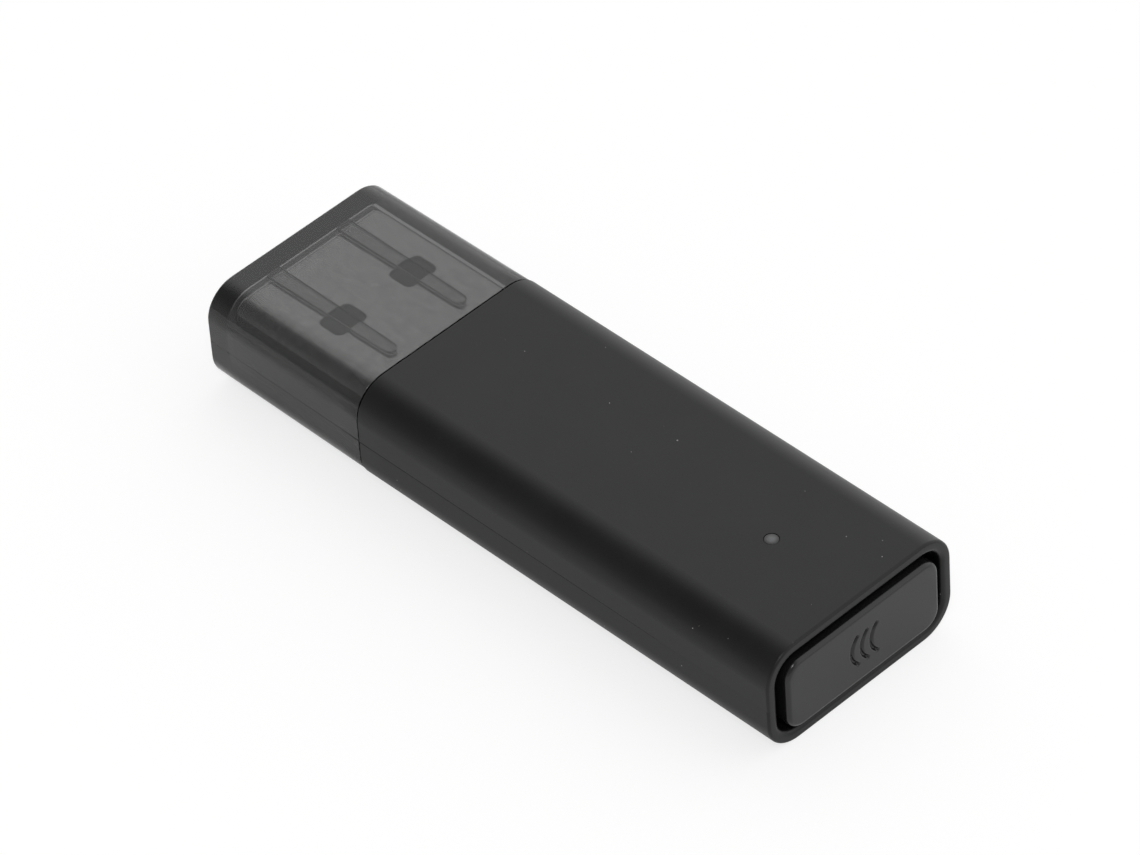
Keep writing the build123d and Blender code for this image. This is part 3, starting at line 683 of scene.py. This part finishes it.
def seam_cut():
    """The seam down the underside, stepping round one square key."""
    key_length, key_width = seam_key
    start = shell_low.x + window_from_tip - key_length / 2
    middle = [
        (shell_low.x - 1, 0),
        (start, 0),
        (start, key_width / 2),
        (start + key_length, key_width / 2),
        (start + key_length, 0),
        (shell_tail_x + 1, 0),
    ]
    half = seam_width / 2
    left = [(x + half * side, y + half) for (x, y), side in zip(middle, (0, -1, -1, 1, 1, 0))]
    right = [(x + half * side, y - half) for (x, y), side in zip(middle, (0, 1, 1, -1, -1, 0))]
    bottom_z = mid_z - shell_height / 2
    return prism(left + right[::-1], bottom_z - 1, bottom_z + seam_depth)


def shell_leg(side):
    """One leg, bent out of the side of the tail."""
    inner = side * (shell_width / 2 - sheet + leg_inset)
    outer = side * (shell_width / 2 - leg_inset)
    top_z = mid_z + leg_top_rise
    corners = [(inner, shell_low.z), (outer, shell_low.z), (outer, top_z), (inner, top_z)]
    leg = prism(corners, shell_tail_x - leg_overlap, shell_high.x, axis="x")
    return soften_edges(leg, leg_edge, lambda corner: corner.x > shell_tail_x)


plug_shell = folded_shell()
for side in (-1, 1):
    window_outline = rounded_plate(
        shell_low.x + window_from_tip, side * window_offset, window_length, window_width, window_radius
    )
    plug_shell = combine(plug_shell, prism(window_outline, 0, 2 * mid_z))


def at_window(corner):
    """True on the outer rim of a latch window."""
    along = abs(corner.x - shell_low.x - window_from_tip) < window_length / 2 + tolerance
    over = abs(abs(corner.y) - window_offset) < window_width / 2 + tolerance
    return along and over and abs(corner.z - mid_z) > shell_height / 2 - tolerance


soften_edges(plug_shell, window_edge, at_window, steps=3)
plug_shell = combine(plug_shell, seam_cut())
for side in (-1, 1):
    plug_shell = combine(plug_shell, shell_leg(side), "UNION")
plug_steel = sheet_metal(
    "plug_steel", (0.66, 0.66, 0.655, 1), (0.78, 0.78, 0.77, 1), 0.04 * mm, 0.0008 * mm, 0.2, 0.1
)
place(plug_shell, "plug_shell_folded", plug_steel, "plug_shell")


# --- Collar and carrier ---------------------------------------------------------------------------
# Plain black mouldings that nobody sees with the cap on. The tray carries the board and springs
# into two pockets in the sleeve, and the collar closes the sleeve's front round the plug.

plain_black = grained(
    "plain_black_moulding",
    dark=(0.014, 0.014, 0.014, 1),
    light=(0.026, 0.026, 0.026, 1),
    size=0.1 * mm,
    depth=0.006 * mm,
    roughness=0.4,
    spread=0.15,
    rub=0.1,
)
softened("board_carrier", plain_black, 0.06)
softened("front_collar", plain_black, 0.08, steps=3)


# --- Light pipe -----------------------------------------------------------------------------------
# A milky acrylic guide that takes the status light's glow up to the round window in the sleeve. It
# is pressed up under the roof, with its polished post just below the outside.

sleeve_low, sleeve_high = box_in_mm("body_sleeve")
light_hole_radius = 0.475
light_hole_from_rear = 6.82
light_hole_edge = 0.015
hole_x = sleeve_high.x - light_hole_from_rear


def milky_guide():
    """Milky acrylic, with painted shade: brightest along the axis of its post and dark where it meets the
    sleeve.
    """
    material, tree = new_material("light_guide")
    texture = effect(tree, grain, Size=0.12 * mm, Roughness=0.3, Spread=0.08)
    where = put(tree, "ShaderNodeTexCoord").outputs["Object"]
    flat = put(tree, "ShaderNodeVectorMath", {0: where, 1: (1, 1, 0)}, operation="MULTIPLY").outputs[0]
    axis = (hole_x * mm, 0, 0)
    off_axis = put(tree, "ShaderNodeVectorMath", {0: flat, 1: axis}, operation="DISTANCE").outputs["Value"]
    # Painted shade: the colour darkens from 0.1 mm off the post's axis out to the hole's rim, where the
    # sleeve shades it.
    rim = between(tree, off_axis, 0.1 * mm, light_hole_radius * mm)
    milk = mixed(tree, texture["Shade"], (0.10, 0.102, 0.105, 1), (0.135, 0.137, 0.14, 1))
    shade(
        tree,
        {
            "Base Color": mixed(tree, rim, milk, (0.02, 0.02, 0.02, 1)),
            "Roughness": texture["Roughness"],
            "Normal": raised(tree, texture["Height"], 0.002 * mm),
            "IOR": 1.45,
        },
    )
    return material


softened("light_pipe", milky_guide(), 0.02, steps=2)


# --- Button ---------------------------------------------------------------------------------------
# A black moulding that fills the sleeve's end: a face with three engraved arcs, a flange that slides
# in the bore, two hooked legs that stop it coming out, and a boss that meets the switch.

button_low, button_high = box_in_mm("end_button")
bore_width = 13.4
bore_height = 5.79
bore_radius = 1.5
face_width = 12.4
face_height = 5.15
face_radius = 1.2
face_drop = 0.05
face_mid_z = mid_z - face_drop
face_edge = 0.3
face_depth = 1.9
face_straight = 0.4
flange_thickness = 0.8
flange_gap = 0.12
flange_edge = 0.08
hooked_leg_inset = 0.6
hooked_leg_thickness = 0.9
hooked_leg_height = 1.0
hooked_leg_gap = 0.4
hooked_leg_edge = 0.05
hook_reach = 0.4
hook_slope_end = 0.6
hook_length = 0.9
boss_gap = 0.02
boss_width = 2.2
boss_height = 1.1
boss_edge = 0.06
root_overlap = 0.2
arc_radius = 1.47
arc_height = 2.15
arc_pitch = 0.79
arc_depth = 0.18
arc_width = 0.36
patch_width = 3.5
patch_height = 2.9
patch_step = 0.04


def arc_sink(y, z):
    """How deep the face is sunk at a point, by its distance to the nearest of the three arcs."""
    half_angle = math.asin(arc_height / 2 / arc_radius)
    middle = arc_radius * (1 + math.cos(half_angle)) / 2
    nearest = arc_width
    for number in (-1, 0, 1):
        centre_y = number * arc_pitch + middle
        angle = math.atan2(z - face_mid_z, centre_y - y)
        angle = max(-half_angle, min(half_angle, angle))
        on_arc_y = centre_y - arc_radius * math.cos(angle)
        on_arc_z = face_mid_z + arc_radius * math.sin(angle)
        nearest = min(nearest, math.hypot(y - on_arc_y, z - on_arc_z))
    share = min(1.0, nearest / (arc_width / 2))
    return arc_depth * (0.5 + 0.5 * math.cos(math.pi * share))


def engraved_patch(shape):
    """A fine grid over the middle of the face, sunk along the arcs; returns its boundary edges."""
    columns = round(patch_width / patch_step)
    rows = round(patch_height / patch_step)
    grid = []
    for row in range(rows + 1):
        z = face_mid_z + (row / rows - 0.5) * patch_height
        line = []
        for column in range(columns + 1):
            y = (column / columns - 0.5) * patch_width
            line.append(shape.verts.new((button_high.x - arc_sink(y, z), y, z)))
        grid.append(line)
    for low, high in zip(grid, grid[1:]):
        for column in range(columns):
            shape.faces.new((low[column], low[column + 1], high[column + 1], high[column]))
    corners = {vert for line in grid for vert in line}
    return [edge for edge in shape.edges if edge.is_boundary and edge.verts[0] in corners]


def button_block():
    """Flange and face, with the face filled in round the engraved patch."""
    face = (face_width, face_height, face_radius)
    flange = (bore_width - 2 * flange_gap, bore_height - 2 * flange_gap, bore_radius - flange_gap)
    flange_rear_x = button_high.x - face_depth
    flange_low_x = flange_rear_x - flange_thickness
    edge = rounding(flange_edge, 2)
    rings = [ring(flange_low_x + back, *flange, inset) for back, inset in edge]
    rings += [ring(flange_rear_x - back, *flange, inset) for back, inset in reversed(edge)]
    front = [ring(flange_rear_x, *face), ring(button_high.x - face_edge - face_straight, *face)]
    front += [ring(button_high.x - back, *face, inset) for back, inset in reversed(rounding(face_edge, 8))]
    rings += [[(x, y, z - face_drop) for x, y, z in points] for points in front]
    shape = skin(rings, fill_last=False)
    rim = [edge for edge in shape.edges if edge.is_boundary]
    bmesh.ops.triangle_fill(shape, edges=rim + engraved_patch(shape), use_beauty=True)
    return shape


def block(x_start, x_end, y_start, y_end, z_start, z_end):
    """A plain bar between two corners."""
    corners = [(y_start, z_start), (y_end, z_start), (y_end, z_end), (y_start, z_end)]
    return prism(corners, x_start, x_end, axis="x")


button = button_block()
flange_front_x = button_high.x - face_depth - flange_thickness
board_top_z = box_in_mm("main_board")[1].z
plunger_low, plunger_high = box_in_mm("switch_plunger")
leg_outer_y = bore_width / 2 - hooked_leg_inset
leg_inner_y = leg_outer_y - hooked_leg_thickness
leg_bottom_z = board_top_z + hooked_leg_gap
leg_top_z = leg_bottom_z + hooked_leg_height
root_x = flange_front_x + root_overlap
for side in (-1, 1):
    hooked_leg = [
        (root_x, leg_inner_y),
        (button_low.x, leg_inner_y),
        (button_low.x, leg_outer_y),
        (button_low.x + hook_slope_end, leg_outer_y + hook_reach),
        (button_low.x + hook_length, leg_outer_y + hook_reach),
        (button_low.x + hook_length, leg_outer_y),
        (root_x, leg_outer_y),
    ]
    leg = prism([(x, side * y) for x, y in hooked_leg], leg_bottom_z, leg_top_z)
    soften_edges(leg, hooked_leg_edge, lambda corner: corner.x < flange_front_x)
    button = combine(button, leg, "UNION")
boss_middle_z = (plunger_low.z + plunger_high.z) / 2
boss = block(
    plunger_high.x + boss_gap,
    root_x,
    -boss_width / 2,
    boss_width / 2,
    boss_middle_z - boss_height / 2,
    boss_middle_z + boss_height / 2,
)
soften_edges(boss, boss_edge, lambda corner: corner.x < flange_front_x)
button = combine(button, boss, "UNION")
button_black = grained(
    "button_black",
    dark=(0.0075, 0.0075, 0.0077, 1),
    light=(0.011, 0.011, 0.0113, 1),
    size=0.16 * mm,
    depth=0.0016 * mm,
    roughness=0.2,
    spread=0.06,
    rub=0.05,
    IOR=1.52,
)
place(button, "button_moulding", button_black, "end_button")


# --- Sleeve ---------------------------------------------------------------------------------------
# A one-piece tube moulded in black with a spark-eroded satin grain. A faint parting line runs down
# both sides, and the light shows through one round hole in the roof.

sleeve_width = sleeve_high.y - sleeve_low.y
sleeve_height = sleeve_high.z - sleeve_low.z
sleeve_radius = 2.33
rim_rounding = 0.18
front_rounding = 0.06
bore_edge = 0.05
mouth_rounding = 0.35
groove_depth = 0.035
pocket_depth = 0.35
pocket_end_from_rear = 8.5
pocket_overlap = 0.5
pocket_length = 1.7
pocket_height = 1.8


def parted(share):
    """Depth of the parting line, which is plainest at the gate end and fades along the tube."""
    return groove_depth * (1 - 0.75 * share)


def sleeve_tube():
    """The tube, out along its outside, over the rear rim and back along its bore."""
    outside = (sleeve_width, sleeve_height, sleeve_radius)
    bore = (bore_width, bore_height, bore_radius)
    rings = []
    for back, inset in rounding(front_rounding, 3):
        rings.append(ring(sleeve_low.x + back, *outside, inset, groove_depth))
    stations = 16
    start = sleeve_low.x + front_rounding
    end = sleeve_high.x - rim_rounding
    for station in range(1, stations):
        share = station / stations
        rings.append(ring(start + share * (end - start), *outside, groove=parted(share)))
    for back, inset in reversed(rounding(rim_rounding, 8)):
        rings.append(ring(sleeve_high.x - back, *outside, inset, parted(1.0)))
    for back, inset in rounding(mouth_rounding, 8):
        rings.append(ring(sleeve_high.x - back, *bore, -inset))
    for back, inset in reversed(rounding(bore_edge, 3)):
        rings.append(ring(sleeve_low.x + back, *bore, -inset))
    return skin(rings, joined=True)


def round_bar(x, y, radius, z_start, z_end, steps=64):
    """An upright cylinder."""
    turns = [2 * math.pi * step / steps for step in range(steps)]
    circle = [(x + radius * math.cos(turn), y + radius * math.sin(turn)) for turn in turns]
    return prism(circle, z_start, z_end)


sleeve = combine(sleeve_tube(), round_bar(hole_x, 0, light_hole_radius, mid_z, sleeve_high.z + 1))


def at_light_hole(corner):
    """True on the hole's outer rim."""
    off_axis = math.hypot(corner.x - hole_x, corner.y)
    return corner.z > sleeve_high.z - tolerance and off_axis < light_hole_radius + tolerance


soften_edges(sleeve, light_hole_edge, at_light_hole, steps=2)
for side in (-1, 1):
    pocket_end_x = sleeve_high.x - pocket_end_from_rear
    pocket = block(
        pocket_end_x - pocket_length,
        pocket_end_x,
        side * (bore_width / 2 - pocket_overlap),
        side * (bore_width / 2 + pocket_depth),
        mid_z - pocket_height / 2,
        mid_z + pocket_height / 2,
    )
    sleeve = combine(sleeve, pocket)


def new_dust():
    """Sparse specks: cells of one size in metres, a few of which hold a speck."""
    tree, given, result = new_effect("dust", {"Cell": 2.0 * mm, "Radius": 0.02, "Share": 0.3}, ["Mask"])
    where = put(tree, "ShaderNodeTexCoord").outputs["Object"]
    scale = sum_of(tree, "DIVIDE", 1.0, given["Cell"])
    cells = put(tree, "ShaderNodeTexVoronoi", {"Vector": where, "Scale": scale})
    chance = put(tree, "ShaderNodeSeparateColor", {0: cells.outputs["Color"]}).outputs
    size = sum_of(tree, "MULTIPLY", given["Radius"], sum_of(tree, "ADD", chance[1], 0.4))
    speck = sum_of(tree, "LESS_THAN", cells.outputs["Distance"], size)
    kept = sum_of(tree, "LESS_THAN", chance[0], given["Share"])
    tree.links.new(sum_of(tree, "MULTIPLY", speck, kept), result["Mask"])
    return tree


dust = new_dust()


def satin_black():
    """Nearly black plastic with spark grain, rubbed edges and a few specks of dust."""
    material, tree = new_material("sleeve_satin_black")
    texture = effect(tree, grain, Size=0.09 * mm, Roughness=0.34, Spread=0.07)
    worn = effect(tree, edge_rub)["Mask"]
    specks = effect(tree, dust, Cell=1.2 * mm, Radius=0.03, Share=0.6)["Mask"]
    plain = mixed(tree, texture["Shade"], (0.0045, 0.0045, 0.0046, 1), (0.0075, 0.0075, 0.0076, 1))
    rubbed = sum_of(tree, "SUBTRACT", texture["Roughness"], sum_of(tree, "MULTIPLY", worn, 0.08))
    shade(
        tree,
        {
            "Base Color": mixed(tree, specks, plain, (0.32, 0.31, 0.30, 1)),
            "Roughness": sum_of(tree, "MULTIPLY_ADD", specks, 0.4, rubbed),
            "Normal": raised(tree, sum_of(tree, "ADD", texture["Height"], specks), 0.0015 * mm),
            "IOR": 1.4,
        },
    )
    return material


place(sleeve, "sleeve_tube", satin_black(), "body_sleeve")


# --- Cap ------------------------------------------------------------------------------------------
# Smoke-tinted clear plastic, moulded in a polished tool with a wall about a millimetre thick. Ribs
# inside its roof and floor grip the plug, and the same parting line runs down its sides.

cap_low, cap_high = box_in_mm("cap")
cap_width = cap_high.y - cap_low.y
cap_height = cap_high.z - cap_low.z
cap_radius = 2.28
cap_draft = 0.08
cap_end_wall = 1.0
cap_roof_wall = 1.15
cap_side_wall = 1.25
cap_tip_rounding = 0.18
mouth_edge = 0.05
cavity_radius = 1.3
cavity_end_rounding = 0.3
cap_stations = 8
rib_width = 1.05
rib_end_width = 0.8
rib_from_mouth = 1.4
rib_edge = 0.03
rib_grip_gap = 0.02
rib_end_steps = 16


def cap_cup():
    """The cup, from the tip out over its outside, round the mouth and in to the cavity's end."""
    length = cap_high.x - cap_low.x

    def outer(x, inset=0.0):
        share = (x - cap_low.x) / length
        taper = cap_draft * (1 - share)
        depth = groove_depth * (0.55 + 0.45 * share)
        return ring(x, cap_width, cap_height, cap_radius, taper + inset, depth)

    cavity = (cap_width - 2 * cap_side_wall, cap_height - 2 * cap_roof_wall, cavity_radius)
    end_x = cap_low.x + cap_end_wall
    rings = [outer(cap_low.x + back, inset) for back, inset in rounding(cap_tip_rounding, 6)]
    start = cap_low.x + cap_tip_rounding
    finish = cap_high.x - mouth_edge
    for station in range(1, cap_stations):
        rings.append(outer(start + station / cap_stations * (finish - start)))
    rings += [outer(cap_high.x - back, inset) for back, inset in reversed(rounding(mouth_edge, 3))]
    rings += [ring(cap_high.x - back, *cavity, -inset) for back, inset in rounding(mouth_edge, 3)]
    for back, inset in reversed(rounding(cavity_end_rounding, 6)):
        rings.append(ring(end_x + back, *cavity, inset))
    return skin(rings)


def grip_rib(side, level):
    """One rib inside the roof (level 1) or floor (level -1), with a round front end."""
    start_x = cap_low.x + cap_end_wall / 2
    round_x = cap_high.x - rib_from_mouth - rib_end_width / 2
    middle_y = side * window_offset
    plan = [(start_x, middle_y + rib_width / 2), (start_x, middle_y - rib_width / 2)]
    for step in range(rib_end_steps + 1):
        turn = math.radians(-90 + 180 * step / rib_end_steps)
        reach = rib_end_width / 2 * math.cos(turn)
        plan.append((round_x + reach, middle_y + rib_end_width / 2 * math.sin(turn)))
    foot_z = mid_z + level * (shell_height / 2 + rib_grip_gap)
    root_z = mid_z + level * (cap_height / 2 - cap_roof_wall / 2)
    rib = prism(plan, foot_z, root_z)
    return soften_edges(rib, rib_edge, lambda corner: abs(corner.z - foot_z) < tolerance)


cap = cap_cup()
for side in (-1, 1):
    for level in (-1, 1):
        cap = combine(cap, grip_rib(side, level), "UNION")


def new_hairlines():
    """Faint straight rubs in two directions, as a pocket and a polishing wheel leave them."""
    tree, given, result = new_effect("hairlines", {"Width": 0.02 * mm, "Amount": 0.5}, ["Mask"])
    where = put(tree, "ShaderNodeTexCoord").outputs["Object"]
    scale = sum_of(tree, "DIVIDE", 1.0, given["Width"])
    masks = []
    for turn in (0.5, -1.1):
        turned = put(tree, "ShaderNodeMapping", {"Vector": where, "Rotation": (0.3, 0.2, turn)}).outputs[0]
        stretched = put(tree, "ShaderNodeMapping", {"Vector": turned, "Scale": (0.012, 1.0, 1.0)}).outputs[0]
        noise = put(tree, "ShaderNodeTexNoise", {"Vector": stretched, "Scale": scale, "Detail": 0.0})
        masks.append(between(tree, noise.outputs[0], 0.72, 0.78))
    total = sum_of(tree, "MAXIMUM", *masks)
    tree.links.new(sum_of(tree, "MULTIPLY", total, given["Amount"]), result["Mask"])
    return tree


hairlines = new_hairlines()


def smoke_clear():
    """Tinted clear plastic: the tint is in its depth, and dust and hairlines are on its surface."""
    material, tree = new_material("cap_smoke_clear")
    texture = effect(tree, grain, Size=0.3 * mm, Roughness=0.005, Spread=0.005)
    rubs = effect(tree, hairlines, Width=0.02 * mm, Amount=0.5)["Mask"]
    specks = effect(tree, dust, Cell=1.5 * mm, Radius=0.02, Share=0.3)["Mask"]
    height = sum_of(tree, "ADD", rubs, specks)
    tint = put(tree, "ShaderNodeVolumeAbsorption", {"Color": (0.1, 0.1, 0.1, 1), "Density": 870.0}).outputs[0]
    shade(
        tree,
        {
            "Base Color": mixed(tree, specks, (1, 1, 1, 1), (0.4, 0.4, 0.4, 1)),
            "Roughness": sum_of(tree, "MULTIPLY_ADD", height, 0.12, texture["Roughness"]),
            "Normal": raised(tree, height, 0.0002 * mm),
            "Transmission Weight": 1.0,
            "IOR": 1.58,
        },
        volume=tint,
    )
    return material


place(cap, "cap_cup", smoke_clear(), "cap")


# --- Table, light and camera ----------------------------------------------------------------------
# The stick lies on a white table, lit by a broad white sky with a darker side to the front left,
# which gives the near edge its dark band. The camera looks down across the button end.

table_half = 1.5
table_z = -0.01 * mm
floor_mesh = bpy.data.meshes.new("table_top")
floor_mesh.from_pydata(
    [(x * table_half, y * table_half, table_z) for x, y in ((-1, -1), (1, -1), (1, 1), (-1, 1))],
    [],
    [(0, 1, 2, 3)],
)
floor = bpy.data.objects.new("table_top", floor_mesh)
bpy.context.collection.objects.link(floor)
white_table, tree = new_material("white_table")
paper = effect(tree, grain, Size=0.4 * mm, Roughness=0.8, Spread=0.1)
path = put(tree, "ShaderNodeLightPath").outputs
seen = path["Is Camera Ray"]
through = path["Is Transmission Ray"]
lit_paper = mixed(tree, paper["Shade"], (0.53, 0.53, 0.53, 1), (0.57, 0.57, 0.57, 1))
# Painted shadow: seen through the cap, the table's colour drops to 0.12, as the shade under the stick.
paper_with_painted_shadow = mixed(tree, through, lit_paper, (0.12, 0.12, 0.12, 1))
# The table glows evenly, 0.76 for the camera and 0.33 for reflections; seen through the cap its glow drops to
# 0.04, a painted shadow.
glow = mixed(tree, through, (0.33, 0.33, 0.33, 1), (0.04, 0.04, 0.04, 1))
shade(
    tree,
    {
        "Base Color": mixed(tree, seen, paper_with_painted_shadow, (0.30, 0.30, 0.30, 1)),
        "Roughness": paper["Roughness"],
        "Normal": raised(tree, paper["Height"], 0.003 * mm),
        "Specular IOR Level": 0.0,
        "Emission Color": mixed(tree, seen, glow, (0.76, 0.76, 0.76, 1)),
        "Emission Strength": 1.0,
    },
)
floor_mesh.materials.append(white_table)

sky = bpy.data.worlds.new("white_studio")
sky.use_nodes = True
tree = sky.node_tree
tree.nodes.clear()
direction = put(tree, "ShaderNodeTexCoord").outputs["Generated"]
toward = put(tree, "ShaderNodeSeparateXYZ", {0: direction}).outputs
lit_side = between(tree, toward["Y"], -0.3, 0.45)
high = between(tree, toward["Z"], 0.05, 0.65)
dark_side = mixed(tree, high, (0.50, 0.50, 0.50, 1), (0.31, 0.31, 0.31, 1))
glow = mixed(tree, lit_side, dark_side, (1.12, 1.12, 1.12, 1))
seen = put(tree, "ShaderNodeLightPath").outputs["Is Camera Ray"]
light = put(tree, "ShaderNodeBackground", {"Color": mixed(tree, seen, glow, (1, 1, 1, 1))})
put(tree, "ShaderNodeOutputWorld", {"Surface": light.outputs[0]})
bpy.context.scene.world = sky

lamp = bpy.data.lights.new("high_softbox", "AREA")
lamp.shape = "DISK"
lamp.size = 0.25
lamp.energy = 1.2
softbox = bpy.data.objects.new("high_softbox", lamp)
softbox.location = (0.35, -0.35, 0.75)
softbox.rotation_euler = (-Vector(softbox.location)).to_track_quat("-Z", "Y").to_euler()
bpy.context.collection.objects.link(softbox)

azimuth = math.radians(48.11)
elevation = math.radians(42.887)
roll = math.radians(-4.257)
distance = 423.53 * mm
aim = Vector((-5.30, 4.67, -0.61)) * mm
back = Vector(
    (
        math.sin(azimuth) * math.cos(elevation),
        -math.cos(azimuth) * math.cos(elevation),
        math.sin(elevation),
    )
)
level = Vector((math.cos(azimuth), math.sin(azimuth), 0))
upright = back.cross(level)
right = math.cos(roll) * level + math.sin(roll) * upright
up = math.cos(roll) * upright - math.sin(roll) * level
lens = bpy.data.cameras.new("camera")
lens.lens = 225.3
lens.sensor_width = 36
lens.clip_start = 0.01
camera = bpy.data.objects.new("camera", lens)
bpy.context.collection.objects.link(camera)
turn = Matrix((right, up, back)).transposed().to_4x4()
camera.matrix_world = Matrix.Translation(aim + distance * back) @ turn
bpy.context.scene.camera = camera
bpy.context.scene.view_settings.view_transform = "Standard"
